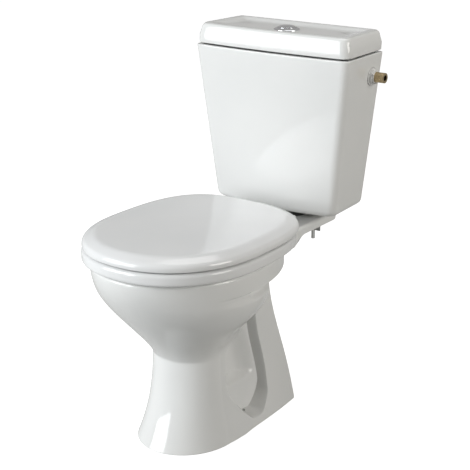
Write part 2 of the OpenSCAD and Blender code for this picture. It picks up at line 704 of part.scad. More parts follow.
module fill_valve() color([0.9, 0.9, 0.9]) difference() {
    union() {
        at_inlet() rod(14, body_low_x, inlet_inner - 7);
        at_inlet() rod(flange_r, inlet_inner - 10.5, inlet_inner - 6.5);
        translate([body_low_x + 22, inlet_y, inlet_z - 30]) rod(9, 0, 26);
        for (side = [-1, 1]) translate([body_low_x, inlet_y + side * 7 - 2, inlet_z + 8])
            cube([13, 4, 25]);
    }
    at_inlet() rod(inlet_shank_r, inlet_inner - 24, inlet_inner + 5);
    translate([body_low_x + 22, inlet_y, inlet_z - 31]) rod(7, 0, 24);
    translate([float_pivot_x, inlet_y, float_pivot_z]) along_y() rod(lever_pin_r, -20, 20);
}
module fill_valve_cap() color([0.3, 0.45, 0.75]) at_inlet() {
    rod(flange_r, body_low_x - 12, body_low_x);
    rod(4, body_low_x - 15, body_low_x - 11);
}
float_pivot_x = body_low_x + 6;
float_pivot_z = inlet_z + 26;
float_x = arm_len - 6;
module hung() translate([float_pivot_x, inlet_y, float_pivot_z]) rotate([0, -float_fall, 0])
    children();
module float_arm() color([0.92, 0.92, 0.92]) hung() difference() {
    union() {
        translate([-arm_len, -2.5, 4]) cube([arm_len + 4, 5, 5]);
        translate([-6, -2.5, 0]) cube([10, 5, 5]);
        along_y() rod(5, -4.5, 4.5);
    }
    along_y() rod(lever_pin_r + pin_gap, -6, 6);
}
module float_pin() color([0.8, 0.8, 0.8]) translate([float_pivot_x, inlet_y, float_pivot_z])
    along_y() rod(lever_pin_r, -11, 11);
module float() color([0.93, 0.93, 0.93]) hung() translate([-float_x, -3, 0]) difference() {
    rod(float_r, 4 - float_h, 4);
    rod(float_r - 2, 6 - float_h, 2);
}
module fall_tube() color([0.93, 0.93, 0.93]) translate([body_low_x + 22, inlet_y, 0])
    tube(7, 5, cistern_floor_z + 20, inlet_z - 12);

// ---- seat -----------------------------------------------------------------------------------

seat_n = 56;
seat_c = -rim_wide_y;
rear_power = 3;
// Superellipse, squarer behind its centre than ahead
function oval(z, inset, half, front, back, power, power_behind) = [for (i = [0 : seat_n - 1])
    let (t = 360 * i / seat_n, s = sin(t), c = cos(t), e = 2 / (c < 0 ? power_behind : power),
        x = sign(s) * pow(abs(s), e), y = -sign(c) * pow(abs(c), e))
    [(half - inset) * x, seat_c + (y < 0 ? front - inset : back - inset) * y, z]];
function seat_ring_at(z, inset) = 
    oval(z, inset, seat_half, seat_front, seat_back, 2.18, rear_power);
opening_half = seat_half - ring_w;
function opening_at(z, inset) =
    oval(z, inset, opening_half, seat_front - ring_w + 6, seat_back - ring_w - 20, 2.1, 2.1);
ring_round = 8;
ring_rings = concat(
    [for (i = [0 : 3]) let (t = 90 * i / 3)
        seat_ring_at(ring_z + ring_round * (1 - cos(t)) * 1.3, ring_round * (1 - sin(t)))],
    [for (i = [0 : 3]) let (t = 90 * i / 3)
        seat_ring_at(ring_top - ring_round * (1 - sin(t)), ring_round * (1 - cos(t)))],
    [for (i = [0 : 3]) let (t = 90 * i / 3)
        opening_at(ring_top - 12 * (1 - cos(t)), -14 * (1 - sin(t)))],
    [opening_at(ring_z + 3, 0), opening_at(ring_z, -4)]);

// Knuckle on the hinge axis from x0 to x1, with its web to the seat's rear edge
module knuckle(x0, x1, y0, z0, z1) difference() {
    union() {
        translate([0, hinge_y, hinge_z]) along_x() rod(knuckle_r, x0, x1);
        translate([x0, y0, z0]) cube([x1 - x0, hinge_y - y0, z1 - z0]);
    }
    translate([0, hinge_y, hinge_z]) along_x() rod(hinge_pin_r + pin_gap, x0 - 1, x1 + 1);
}
post_w = 15;
leaf_w = 15;
post_x = hinge_pitch / 2 - post_w / 2;
ring_leaf_x = post_x - slide_gap - leaf_w;
lid_leaf_x = post_x + post_w + slide_gap;
function back_y(x) = seat_c + seat_back * pow(1 - pow(x / seat_half, rear_power), 1 / rear_power);

module seat_ring() color([0.97, 0.97, 0.97]) union() {
    skin_loop(ring_rings);
    for (side = [0, 1]) mirror([side, 0, 0])
        knuckle(ring_leaf_x, ring_leaf_x + leaf_w, back_y(ring_leaf_x) - 14, ring_z + 8, ring_z + 18);
}

lid_skirt = 8;
lid_bevel = 22;
lid_shell_t = 4;
function seat_lid_at(z, inset) =
    oval(z, inset, seat_half - 1, seat_front - 1, seat_back + lid_reach, 2.18, rear_power);
seat_lid_rings = concat(
    [seat_lid_at(seat_lid_z + seat_lid_t - lid_shell_t, lid_bevel + 3),
    seat_lid_at(seat_lid_z + 10, lid_shell_t + 3),
    seat_lid_at(seat_lid_z, lid_shell_t),
    seat_lid_at(seat_lid_z, 1)],
    [seat_lid_at(seat_lid_z + lid_skirt * 0.6, 0), seat_lid_at(seat_lid_z + lid_skirt, 1.2)],
    [for (i = [1 : 5]) let (t = 90 * i / 5)
        seat_lid_at(lerp(seat_lid_z + lid_skirt, seat_lid_z + seat_lid_t - 1.5, sin(t)),
            1.2 + (lid_bevel - 1.2) * (1 - cos(t)))],
    [seat_lid_at(seat_lid_z + seat_lid_t, lid_bevel + 60)]);
lid_arm_y = back_y(lid_leaf_x);
knuckle_room = 1.2;
// Room in the lid's rear edge for the posts and knuckles under it
module hinge_relief() for (side = [0, 1]) mirror([side, 0, 0])
    translate([ring_leaf_x - knuckle_room, hinge_y - knuckle_r - knuckle_room, ring_top])
        cube([lid_leaf_x + leaf_w - ring_leaf_x + 2 * knuckle_room, 4 * knuckle_r,
            hinge_z + knuckle_r + knuckle_room - ring_top]);
module seat_lid() color([0.97, 0.97, 0.97]) union() {
    difference() {
        skin(seat_lid_rings);
        hinge_relief();
    }
    for (side = [0, 1]) mirror([side, 0, 0]) {
        knuckle(lid_leaf_x, lid_leaf_x + leaf_w, hinge_y - 2, hinge_z - 2, hinge_z + 2);
        translate([lid_leaf_x, 0, 0]) rotate([90, 0, 90]) linear_extrude(leaf_w)
            polygon([[lid_arm_y - 18, seat_lid_z + 2], [lid_arm_y + 4, seat_lid_z + 2],
                [lid_arm_y + 14, hinge_z + 6], [hinge_y, hinge_z + hinge_pin_r + 1.5],
                [hinge_y + knuckle_r * 0.7, hinge_z + knuckle_r * 0.7],
                [hinge_y + 1, seat_lid_z + 7], [lid_arm_y - 18, seat_lid_z + 9]]);
    }
}

// Buffers under the ring and under the lid
buffer_spots = [[150, -150], [132, -10]];
module buffers(z, h, r, spots) for (side = [-1, 1], spot = spots)
    translate([side * spot[0], spot[1], 0]) rod(r, z, z + h);
module ring_buffers() color([0.9, 0.9, 0.9]) buffers(rim_z, buffer_h, 7, buffer_spots);
module lid_buffers() color([0.9, 0.9, 0.9]) buffers(ring_top, seat_gap, 5, [[140, -190], [145, -40]]);

// ---- seat hinge -----------------------------------------------------------------------------

hinge_base_t = 4;
module at_hinge() translate([0, hinge_y, 0]) pair(hinge_pitch) children();
module hinge_posts() color([0.97, 0.97, 0.97]) difference() {
    at_hinge() {
        rod(15, rim_z, rim_z + hinge_base_t);
        translate([-post_w / 2, -knuckle_r, rim_z + 1]) cube([post_w, 2 * knuckle_r, hinge_z - rim_z - 1]);
        translate([0, 0, hinge_z]) along_x() rod(knuckle_r, -post_w / 2, post_w / 2);
    }
    at_hinge() rod(hinge_bolt_r, rim_z - 1, hinge_z - knuckle_r + 2);
    translate([0, hinge_y, hinge_z]) along_x() rod(hinge_pin_r, -hinge_pitch, hinge_pitch);
}
module hinge_pins() color([0.8, 0.8, 0.8]) for (side = [-1, 1])
    translate([side * (ring_leaf_x + lid_leaf_x + leaf_w) / 2, hinge_y, hinge_z])
        along_x() rod(hinge_pin_r, -leaf_w * 1.5 - 2, leaf_w * 1.5 + 2);
module hinge_bolts() color([0.93, 0.93, 0.93]) at_hinge()
    rod(hinge_bolt_r, shelf_low - nut_pocket_h + 4, hinge_z - knuckle_r + 2);
module hinge_seals() color([0.2, 0.2, 0.21]) at_hinge()
    tube(nut_pocket_r - 1.5, hinge_bolt_r, shelf_low - 3, shelf_low);
module hinge_wing_nuts() color([0.93, 0.93, 0.93]) at_hinge()
    wing_nut(hinge_bolt_r, shelf_low - 3, nut_pocket_r - 1.5);

pan();
cistern();
cistern_lid();
coupling_washer();
coupling_bolts();
coupling_seals();
coupling_plates();
coupling_wing_nuts();
flush_base();
flush_nut();
flush_tower();
flush_plunger();
flush_seal();
flush_lever();
lever_pin();
button_bezel();
button_sleeve();
button_nut();
push_button();
push_rod();
button_spring();
inlet_tail();
inlet_flange_nut();
inlet_lock_ring();
inlet_seal();
fill_valve();
fill_valve_cap();
float_arm();
float_pin();
float();
fall_tube();
seat_ring();
seat_lid();
ring_buffers();
lid_buffers();
hinge_posts();
hinge_pins();
hinge_bolts();
hinge_seals();
hinge_wing_nuts();
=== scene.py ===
"""Close-coupled toilet: glazed china, plastic seat, chrome push button and water fittings.

Shapes are worked out in millimetres in the part's own frame: +Z up, +X towards the water inlet,
+Y towards the wall, the origin on the floor midway between the two floor fixings. A surface is a
grid of points, rows by columns, and becomes a mesh in metres.
"""

import json

import bpy
import numpy as np
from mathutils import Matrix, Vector


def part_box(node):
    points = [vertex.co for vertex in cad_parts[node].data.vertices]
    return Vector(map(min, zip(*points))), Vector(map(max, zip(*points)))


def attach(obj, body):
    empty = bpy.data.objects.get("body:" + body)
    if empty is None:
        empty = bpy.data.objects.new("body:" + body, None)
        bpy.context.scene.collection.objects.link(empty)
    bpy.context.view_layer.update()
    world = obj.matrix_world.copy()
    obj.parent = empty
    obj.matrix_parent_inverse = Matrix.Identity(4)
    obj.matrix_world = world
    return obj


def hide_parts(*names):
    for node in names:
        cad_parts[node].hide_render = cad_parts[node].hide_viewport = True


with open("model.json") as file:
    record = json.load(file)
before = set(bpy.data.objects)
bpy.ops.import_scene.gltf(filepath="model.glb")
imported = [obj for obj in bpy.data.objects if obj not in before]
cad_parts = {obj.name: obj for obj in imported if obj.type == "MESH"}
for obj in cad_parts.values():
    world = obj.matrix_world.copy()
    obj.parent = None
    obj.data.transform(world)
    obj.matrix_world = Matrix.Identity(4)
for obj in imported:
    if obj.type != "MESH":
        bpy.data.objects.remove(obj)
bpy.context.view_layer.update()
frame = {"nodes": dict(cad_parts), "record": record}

MM = 0.001


def box_mm(node):
    """Lowest and highest corner of a CAD node in millimetres."""
    low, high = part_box(node)
    return np.array(low) / MM, np.array(high) / MM


# ---- numbers and arrays -----------------------------------------------------------------------


def clamp01(t):
    return np.clip(t, 0.0, 1.0)


def lerp(a, b, t):
    return a + (b - a) * t


def ease(t, slope=0.0):
    """Cubic from 0 to 1 that ends level: 3u^2 - 2u^3, plus slope (u^3 - 2u^2 + u)."""
    u = clamp01(t)
    return slope * (u**3 - 2 * u**2 + u) + 3 * u**2 - 2 * u**3


def soft_max(a, b, k):
    """Greater of a and b, rounded over where they cross: (a + b + sqrt((a - b)^2 + k^2)) / 2."""
    return (a + b + np.sqrt((a - b) ** 2 + k * k)) / 2


def runs(*stops):
    """Values along a line: each stop (end, count) adds count even steps from the last end."""
    values = [np.array([stops[0]])]
    for end, count in stops[1:]:
        values.append(np.linspace(values[-1][-1], end, count + 1)[1:])
    return np.concatenate(values)


def rounded(corners, steps=5, closed=True):
    """Outline through corners (a, b, trim). Each corner P is cut at that distance on both sides
    and bridged with the parabola (1-s)^2 P0 + 2s(1-s) P + s^2 P1."""
    corners = np.array(corners, float)
    count = len(corners)
    s = np.linspace(0, 1, steps + 1)[:, None]
    points = []
    for i in range(count):
        here, trim = corners[i, :2], corners[i, 2]
        end = not closed and i in (0, count - 1)
        if trim == 0 or end:
            points.append(here[None])
            continue
        before = corners[(i - 1) % count, :2] - here
        after = corners[(i + 1) % count, :2] - here
        first = here + before / np.linalg.norm(before) * trim
        last = here + after / np.linalg.norm(after) * trim
        points.append((1 - s) ** 2 * first + 2 * s * (1 - s) * here + s**2 * last)
    return np.concatenate(points)


def catmull(rows, per_span):
    """Smooth rows between the given ones: the Catmull-Rom cubic through four neighbours."""
    padded = np.concatenate([rows[:1], rows, rows[-1:]])
    out = [rows[:1]]
    for i in range(1, len(padded) - 2):
        t = np.linspace(0, 1, per_span + 1)[1:].reshape(-1, 1, 1)
        a, b, c, d = padded[i - 1], padded[i], padded[i + 1], padded[i + 2]
        out.append(
            0.5 * (2 * b + (c - a) * t + (2 * a - 5 * b + 4 * c - d) * t**2
                   + (3 * b - a - 3 * c + d) * t**3)
        )
    return np.concatenate(out)


# ---- meshes -----------------------------------------------------------------------------------


def skin(grid, loop_rows=False, cap_first=False, cap_last=False):
    """Quads over a grid whose columns close on themselves; a cap is one flat face. Columns turn
    anticlockwise about the way the rows run, so faces point outwards."""
    rows, cols = grid.shape[:2]
    index = np.arange(rows * cols).reshape(rows, cols)
    first, last = index[0], index[-1]
    index = np.concatenate([index, index[:, :1]], 1)
    if loop_rows:
        index = np.concatenate([index, index[:1]], 0)
    quads = np.stack([index[:-1, :-1], index[:-1, 1:], index[1:, 1:], index[1:, :-1]], -1)
    faces = quads.reshape(-1, 4).tolist()
    if cap_first:
        faces.append(first[::-1].tolist())
    if cap_last:
        faces.append(last.tolist())
    return grid.reshape(-1, 3), faces


def joined(*skins):
    """Several skins as one."""
    points, faces, start = [], [], 0
    for some_points, some_faces in skins:
        points.append(some_points)
        faces += [[start + i for i in face] for face in some_faces]
        start += len(some_points)
    return np.concatenate(points), faces


def moved(shape, at=(0, 0, 0), along="z", flip=False):
    """A skin with its Z axis laid along an axis, then shifted, then mirrored in x = 0 if flip."""
    points, faces = shape
    x, y, z = points.T
    if along == "x":
        x, z = z, -x
    if along == "y":
        y, z = z, -y
    points = np.stack([x, y, z], 1) + np.array(at, float)
    if flip:
        points = points * np.array([-1.0, 1.0, 1.0])
        faces = [face[::-1] for face in faces]
    return points, faces


def turned(profile, count):
    """Profile (r, h) turned about Z: x = r cos a, y = r sin a, z = h."""
    a = np.linspace(0, 2 * np.pi, count, endpoint=False)
    r, h = profile[:, :1], profile[:, 1:]
    return np.stack([r * np.cos(a), r * np.sin(a), h + 0 * a], -1)


def lathe(profile, count):
    """Turned closed profile, which rises on its outside and falls on its inside."""
    return skin(turned(profile, count), loop_rows=True)


def solid_lathe(profile, count):
    """Turned open profile, from the axis round the outside and back to the axis."""
    return skin(turned(profile, count), cap_first=True, cap_last=True)


AXIS_R = 0.01


def rod(radius, low, high, count):
    """Round rod along Z between two heights."""
    corners = [(AXIS_R, low), (radius, low), (radius, high), (AXIS_R, high)]
    return solid_lathe(np.array(corners, float), count)


SHARP_DEG = 40


def shade(mesh, sharp_deg):
    """Smooth shading, apart from edges that bend more than sharp_deg."""
    mesh.polygons.foreach_set("use_smooth", [True] * len(mesh.polygons))
    mesh.set_sharp_from_angle(angle=np.radians(sharp_deg))


def mesh_object(name, shape, sharp_deg=SHARP_DEG):
    """New mesh object from a skin in millimetres."""
    points, faces = shape
    mesh = bpy.data.meshes.new(name)
    mesh.from_pydata((points * MM).tolist(), [], faces)
    mesh.validate()
    shade(mesh, sharp_deg)
    mesh.update()
    piece = bpy.data.objects.new(name, mesh)
    bpy.context.collection.objects.link(piece)
    return piece


def cut(piece, *cutters):
    """Takes closed cutters out of a piece with exact booleans, one after the other."""
    for cutter in cutters:
        tool = mesh_object("cutter", cutter)
        step = piece.modifiers.new("cut", "BOOLEAN")
        step.operation = "DIFFERENCE"
        step.solver = "EXACT"
        step.object = tool
        graph = bpy.context.evaluated_depsgraph_get()
        mesh = bpy.data.meshes.new_from_object(piece.evaluated_get(graph))
        piece.modifiers.clear()
        old, piece.data = piece.data, mesh
        bpy.data.meshes.remove(old)
        bpy.data.objects.remove(tool)
    shade(piece.data, SHARP_DEG)


def merge(piece, *others):
    """Adds other pieces' faces to a piece and removes them."""
    chosen = [piece, *others]
    with bpy.context.temp_override(active_object=piece, selected_editable_objects=chosen):
        bpy.ops.object.join()


def box_skin(low, high):
    """Box between two corners."""
    (x0, y0, z0), (x1, y1, z1) = low, high
    ring = np.array([(x0, y0), (x1, y0), (x1, y1), (x0, y1)], float)
    grid = np.stack([np.concatenate([ring, np.full((4, 1), z)], 1) for z in (z0, z1)])
    return skin(grid, cap_first=True, cap_last=True)


def place(piece, finish, body, *stands_for):
    """Gives a new piece its finish, its body and the CAD nodes that it stands for."""
    piece.data.materials.clear()
    piece.data.materials.append(FINISHES[finish])
    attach(piece, body)
    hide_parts(*stands_for)


# ---- finishes ---------------------------------------------------------------------------------


def new_group(name, inputs, outputs):
    """Node group with named inputs (name, kind, default) and outputs (name, kind)."""
    group = bpy.data.node_groups.new(name, "ShaderNodeTree")
    for label, kind, value in inputs:
        socket = group.interface.new_socket(label, in_out="INPUT", socket_type=kind)
        socket.default_value = value
    for label, kind in outputs:
        group.interface.new_socket(label, in_out="OUTPUT", socket_type=kind)
    return group, group.nodes.new("NodeGroupInput"), group.nodes.new("NodeGroupOutput")


def surface_life_group():
    """Slow and fine noise over a surface: a tone near the base colour, a roughness and a height."""
    group, given, out = new_group(
        "surface_life",
        [("Color", "NodeSocketColor", (1, 1, 1, 1)),
         ("Shade", "NodeSocketColor", (0.9, 0.9, 0.9, 1)),
         ("Scale", "NodeSocketFloat", 6.0), ("Grain", "NodeSocketFloat", 90.0),
         ("Roughness", "NodeSocketFloat", 0.1), ("Spread", "NodeSocketFloat", 0.02)],
        [("Color", "NodeSocketColor"), ("Roughness", "NodeSocketFloat"),
         ("Height", "NodeSocketFloat")],
    )
    nodes, links = group.nodes, group.links
    place_node = nodes.new("ShaderNodeTexCoord")
    slow = nodes.new("ShaderNodeTexNoise")
    fine = nodes.new("ShaderNodeTexNoise")
    slow.inputs["Detail"].default_value = 3.0
    fine.inputs["Detail"].default_value = 2.0
    for noise, scale in ((slow, "Scale"), (fine, "Grain")):
        links.new(place_node.outputs["Object"], noise.inputs["Vector"])
        links.new(given.outputs[scale], noise.inputs["Scale"])
    tone = nodes.new("ShaderNodeMix")
    tone.data_type = "RGBA"
    share = nodes.new("ShaderNodeMapRange")
    share.inputs["From Min"].default_value = 0.35
    share.inputs["From Max"].default_value = 0.65
    links.new(slow.outputs["Fac"], share.inputs["Value"])
    links.new(share.outputs["Result"], tone.inputs["Factor"])
    links.new(given.outputs["Color"], tone.inputs["A"])
    links.new(given.outputs["Shade"], tone.inputs["B"])
    links.new(tone.outputs["Result"], out.inputs["Color"])
    swing = nodes.new("ShaderNodeMath")
    swing.operation = "MULTIPLY_ADD"
    centred = nodes.new("ShaderNodeMath")
    centred.operation = "SUBTRACT"
    centred.inputs[1].default_value = 0.5
    links.new(fine.outputs["Fac"], centred.inputs[0])
    links.new(centred.outputs["Value"], swing.inputs[0])
    links.new(given.outputs["Spread"], swing.inputs[1])
    links.new(given.outputs["Roughness"], swing.inputs[2])
    links.new(swing.outputs["Value"], out.inputs["Roughness"])
    links.new(fine.outputs["Fac"], out.inputs["Height"])
    return group


SURFACE_LIFE = surface_life_group()


def finish_material(name, color, shade, roughness, spread, metallic=0.0, ior=1.5, scale=6.0,
                    grain=90.0, bump=0.02, bump_depth=0.0002, coat=0.0, transmission=0.0):
    """Principled material whose tone, roughness and height vary slowly over the piece."""
    material = bpy.data.materials.new(name)
    material.use_nodes = True
    nodes, links = material.node_tree.nodes, material.node_tree.links
    shader = nodes["Principled BSDF"]
    life = nodes.new("ShaderNodeGroup")
    life.node_tree = SURFACE_LIFE
    life.inputs["Color"].default_value = (*color, 1)
    life.inputs["Shade"].default_value = (*shade, 1)
    life.inputs["Scale"].default_value = scale
    life.inputs["Grain"].default_value = grain
    life.inputs["Roughness"].default_value = roughness
    life.inputs["Spread"].default_value = spread
    height = nodes.new("ShaderNodeBump")
    height.inputs["Strength"].default_value = bump
    height.inputs["Distance"].default_value = bump_depth
    links.new(life.outputs["Color"], shader.inputs["Base Color"])
    links.new(life.outputs["Roughness"], shader.inputs["Roughness"])
    links.new(life.outputs["Height"], height.inputs["Height"])
    links.new(height.outputs["Normal"], shader.inputs["Normal"])
    shader.inputs["Metallic"].default_value = metallic
    shader.inputs["IOR"].default_value = ior
    shader.inputs["Coat Weight"].default_value = coat
    shader.inputs["Coat Roughness"].default_value = 0.03
    shader.inputs["Transmission Weight"].default_value = transmission
    return material


FINISHES = {
    "vitreous_china": finish_material(
        "vitreous_china", (0.86, 0.862, 0.85), (0.835, 0.84, 0.83), 0.09, 0.03, ior=1.52,
        scale=5.0, grain=55.0, bump=0.05, bump_depth=0.0004),
    "seat_plastic": finish_material(
        "seat_plastic", (0.85, 0.855, 0.855), (0.83, 0.838, 0.84), 0.12, 0.03, ior=1.49,
        scale=7.0, grain=140.0, bump=0.03, bump_depth=0.0002),
    "white_plastic": finish_material(
        "white_plastic", (0.82, 0.82, 0.81), (0.78, 0.78, 0.77), 0.38, 0.12, scale=25.0,
        grain=700.0, bump=0.12, bump_depth=0.0001),
    "blue_plastic": finish_material(
        "blue_plastic", (0.1, 0.2, 0.5), (0.08, 0.17, 0.44), 0.36, 0.12, scale=25.0,
        grain=700.0, bump=0.12, bump_depth=0.0001),
    "clear_plastic": finish_material(
        "clear_plastic", (0.76, 0.82, 0.86), (0.7, 0.77, 0.82), 0.34, 0.1, scale=20.0,
        grain=600.0, bump=0.1, bump_depth=0.0001),
    "chrome": finish_material(
        "chrome", (0.72, 0.73, 0.75), (0.66, 0.67, 0.69), 0.05, 0.03, metallic=1.0, scale=60.0,
        grain=900.0, bump=0.02, bump_depth=0.00005),
    "brass": finish_material(
        "brass", (0.56, 0.44, 0.26), (0.42, 0.33, 0.2), 0.28, 0.18, metallic=1.0, scale=120.0,
        grain=900.0, bump=0.15, bump_depth=0.00008),
    "steel": finish_material(
        "steel", (0.62, 0.62, 0.6), (0.52, 0.53, 0.53), 0.32, 0.2, metallic=1.0, scale=90.0,
        grain=1100.0, bump=0.15, bump_depth=0.00006),
    "black_rubber": finish_material(
        "black_rubber", (0.022, 0.022, 0.022), (0.035, 0.035, 0.034), 0.62, 0.2, scale=60.0,
        grain=1200.0, bump=0.3, bump_depth=0.0001),
    "red_rubber": finish_material(
        "red_rubber", (0.42, 0.06, 0.04), (0.34, 0.045, 0.03), 0.5, 0.2, scale=60.0,
        grain=1200.0, bump=0.3, bump_depth=0.0001),
}

for subpart in frame["record"]["subparts"]:
    node = frame["nodes"][subpart["node"]]
    for material_slot in node.material_slots:
        material_slot.material = FINISHES[subpart["material_slot"]]

# ---- pan --------------------------------------------------------------------------------------

pan_low, pan_high = box_mm("pan")
cistern_low, cistern_high = box_mm("cistern")
wall_y = cistern_high[1]
rim_z = pan_high[2]
rim_front = -pan_low[1]
shelf_end = pan_high[1]
shelf_t = 17
shelf_low = rim_z - shelf_t
foot_half, foot_front, foot_rear = 102, 218, 150
waist_half, waist_front, waist_z = 76, 172, 180
flare_power = 2.6
wing_half, wing_inside = 86, 67
rim_half, rim_wide_y, rim_back, shelf_half = pan_high[0] - 0.5, 115, 232, 99
foot_wide_y = -101
bowl_z0, bowl_z1 = waist_z - 2, rim_z - 52
haunch_z, haunch_reach, lean_end = 290, 165, 66
ledge_t = 16
recess_depth, channel_depth, ridge_depth = 27, 38, 16
trap_back = 58
mouth_wall = 46
outlet_r, outlet_end, outlet_z = 51, 112, 190
fixing_r, fixing_x = 4.5, 60
coupling_r, coupling_x, coupling_y = 5.5, 75, wall_y - 84
FINE_TURN, COARSE_TURN = 96, 32


def flare(z):
    """1 at the floor, falling to 0 above the waist: (1 - z / 200)^2.6."""
    return clamp01(1 - z / (waist_z + 20)) ** flare_power


def column_half(z):
    return waist_half + (foot_half - waist_half) * flare(z)


def outer_half(z):
    return column_half(z) + (rim_half - waist_half) * ease((z - bowl_z0) / (bowl_z1 - bowl_z0))


def outer_front(z):
    bulge = ease((z - waist_z) / (rim_z - waist_z), 0.95)
    return -waist_front - (foot_front - waist_front) * flare(z) - (rim_front - waist_front) * bulge


def wide_y(z):
    return lerp(foot_wide_y, -rim_wide_y, ease((z - waist_z) / 60))


def lean_y(z):
    return foot_rear - (foot_rear - lean_end) * ease(z / (haunch_z + 40), 0.3)


def haunch_y(z):
    reach = clamp01((z - haunch_z) / (shelf_low - haunch_z)) ** 1.5
    return np.where(z < haunch_z, lean_y(z), lerp(lean_y(haunch_z), haunch_reach, reach))


def wing_x(z):
    return wing_half + 6 * clamp01(1 - z / 90) ** 2 - 8 * ease((z - 60) / 230)


def recess_front(z):
    low = lerp(-14, -88, ease((z - ledge_t) / 100, 1.6))
    return np.where(z < 160, low, lerp(-88, 16, clamp01((z - 182) / 60) ** 1.8))


def recess_rear(z):
    return lerp(22, 50, ease((z - ledge_t) / 45, 1.5)) - 34 * ease((z - 80) / 170)


def ridge_y(z):
    t = 1 - clamp01((z - 32) / 80)
    return 33 - 63 * t**3 - 16 * ease((z - 130) / 110)


def recess(y, z):
    """Depth of the side recess: a front pocket, a ridge and a deeper rear channel, eased in over
    its edges and faded out at the floor ledge and under the bowl."""
    share = ease((z - ledge_t) / 7) * ease((248 - z) / 18)
    front, rear = recess_front(z), recess_rear(z)
    crest = np.minimum(ridge_y(z), rear - 20)
    channel = channel_depth + 0.6 * (column_half(z) - waist_half)
    pocket = lerp(ridge_depth - 3, recess_depth + 9, ease((z - 100) / 13))
    rise = np.minimum(44, np.maximum(crest - front - 9, 1))
    ahead = lerp(pocket, ridge_depth - 6, ease((y - crest + rise) / rise))
    behind = lerp(ridge_depth - 6, channel, ease((y - crest) / 14))
    floor = np.where(y < crest, ahead, behind)
    low = lerp(channel, floor, ease((z - 30) / 12))
    return share * low * ease((y - front) / 10) * ease((rear - y) / 10)


def rim_x(y):
    t = clamp01((y + rim_wide_y) / rim_back)
    return soft_max(rim_half * np.sqrt(1 - t * t), shelf_half, 14)


def body_x(y, z):
    """Half width behind the widest place: the bowl's oval blended into the side wall."""
    wide = wide_y(z)
    reach = lerp(88, 150, ease((z - bowl_z0) / 110))
    t = clamp01((y - wide) / reach)
    bowl = outer_half(z) * np.sqrt(1 - t * t)
    along = clamp01((y - wide) / (haunch_y(z) - wide))
    wall = lerp(column_half(z), wing_x(z), along**3)
    return soft_max(bowl, wall, 16 * clamp01((y - wide) / 50))


def undercut(y, z):
    """Groove under the rim band: up to 7 mm deep, deeper behind a step in the side."""
    reach = 4 * ease((y + 215) / 60) + 7 * ease((y + 131) / 9)
    return reach * ease((z - 327) / 12) * ease((350 - z) / 5)


def side_x(y, z):
    band = ease((z - bowl_z1 - 6) / 9)
    x = lerp(body_x(y, np.minimum(z, bowl_z1)), rim_x(y), band)
    return x - undercut(y, z)


NOSE_COLS, CORNER_COLS, INSIDE_COLS, BACK_COLS = 40, 8, 16, 14


def pan_outline(front_z, rear_z, back, grow):
    """Half outline of the china at each row, from the front centre round to the back centre.

    The nose is the quarter ellipse x = half sin a, y = wide - length cos a. Behind it the side
    follows side_x(y, z) less the recess; the rear wall turns in round its end to the space between
    the side walls. front_z and rear_z are the row's heights at the nose and at the shelf.
    """
    z = front_z
    half, front, wide = outer_half(z) + grow, outer_front(z) - grow, wide_y(z)
    a = np.linspace(0, np.pi / 2, NOSE_COLS, endpoint=False)[None]
    nose_x, nose_y = half * np.sin(a), wide - (wide - front) * np.cos(a)
    nose_x = nose_x - undercut(nose_y, z) * np.sin(a)
    nose = np.stack([nose_x, nose_y, z + 0 * a], -1)

    rf, rr = recess_front(z), recess_rear(z)
    rf = np.minimum(rf, rr - 30)
    crest = np.minimum(ridge_y(z), rr - 20)
    stops = [wide, rf - 4, rf + 12, np.clip(crest - 21, rf + 12.5, rr - 13),
             np.clip(crest + 16, rf + 13, rr - 12.5), rr - 12, rr + 4]
    counts = [10, 14, 8, 20, 8, 14]
    pieces = [
        lerp(low, high, np.linspace(0, 1, n, endpoint=False)[None])
        for low, high, n in zip(stops[:-1], stops[1:], counts)
    ]
    corner = np.minimum(10.0, (back - rr) / 3)
    turn = np.minimum(back, haunch_reach) - 14
    pieces.append(lerp(rr + 4, turn, np.linspace(0, 1, 14, endpoint=False)[None]))
    pieces.append(lerp(turn, back - corner, np.linspace(0, 1, 10, endpoint=False)[None]))
    y = np.concatenate(pieces, 1)
    side_z = lerp(front_z, rear_z, ease((y - 100) / 60))
    x = side_x(y, side_z) - recess(y, side_z) + grow
    side = np.stack([x, y + 0 * x, side_z], -1)

    a = np.linspace(0, np.pi / 2, CORNER_COLS, endpoint=False)[None]
    corner_x = side_x(back - corner, rear_z) + grow
    round_end = np.stack([corner_x - corner * (1 - np.cos(a)),
                          back - corner * (1 - np.sin(a)) + grow * np.sin(a), rear_z + 0 * a], -1)
    roof = trap_back + np.clip(rear_z - haunch_z + 54, 0, 400) * 0.7
    inside = np.where(rear_z < haunch_z, np.minimum(roof, back - 0.4), back - 0.4)
    depth = back - inside
    lip = np.minimum(7.0, depth / 2)
    fillet = np.minimum(16.0, depth / 2)
    stop_x = np.minimum(wing_inside, corner_x - corner - lip - 1)
    a = np.linspace(0, np.pi / 2, INSIDE_COLS // 2, endpoint=False)[None]
    zero = rear_z + 0 * a
    lip_turn = np.stack([stop_x + lip * (1 - np.sin(a)),
                         back - lip * (1 - np.cos(a)) + grow, zero], -1)
    fillet_turn = np.stack([stop_x - fillet * (1 - np.cos(a)),
                            inside + fillet * (1 - np.sin(a)) + grow, zero], -1)
    t = np.linspace(0, 1, BACK_COLS + 1)[None]
    last_x = stop_x - fillet
    middle = np.stack([last_x * (1 - t), inside + grow + 0 * t, rear_z + 0 * t], -1)
    rear = np.concatenate([lip_turn, fillet_turn, middle], 1)
    t = np.linspace(0, 1, rear.shape[1])[None]
    plain = np.stack([(corner_x - corner) * (1 - t), back + grow + 0 * t, rear_z + 0 * t], -1)
    rear = lerp(rear, plain, ease((rear_z - 262) / 24)[..., None])
    return np.concatenate([nose, side, round_end, rear], 1)


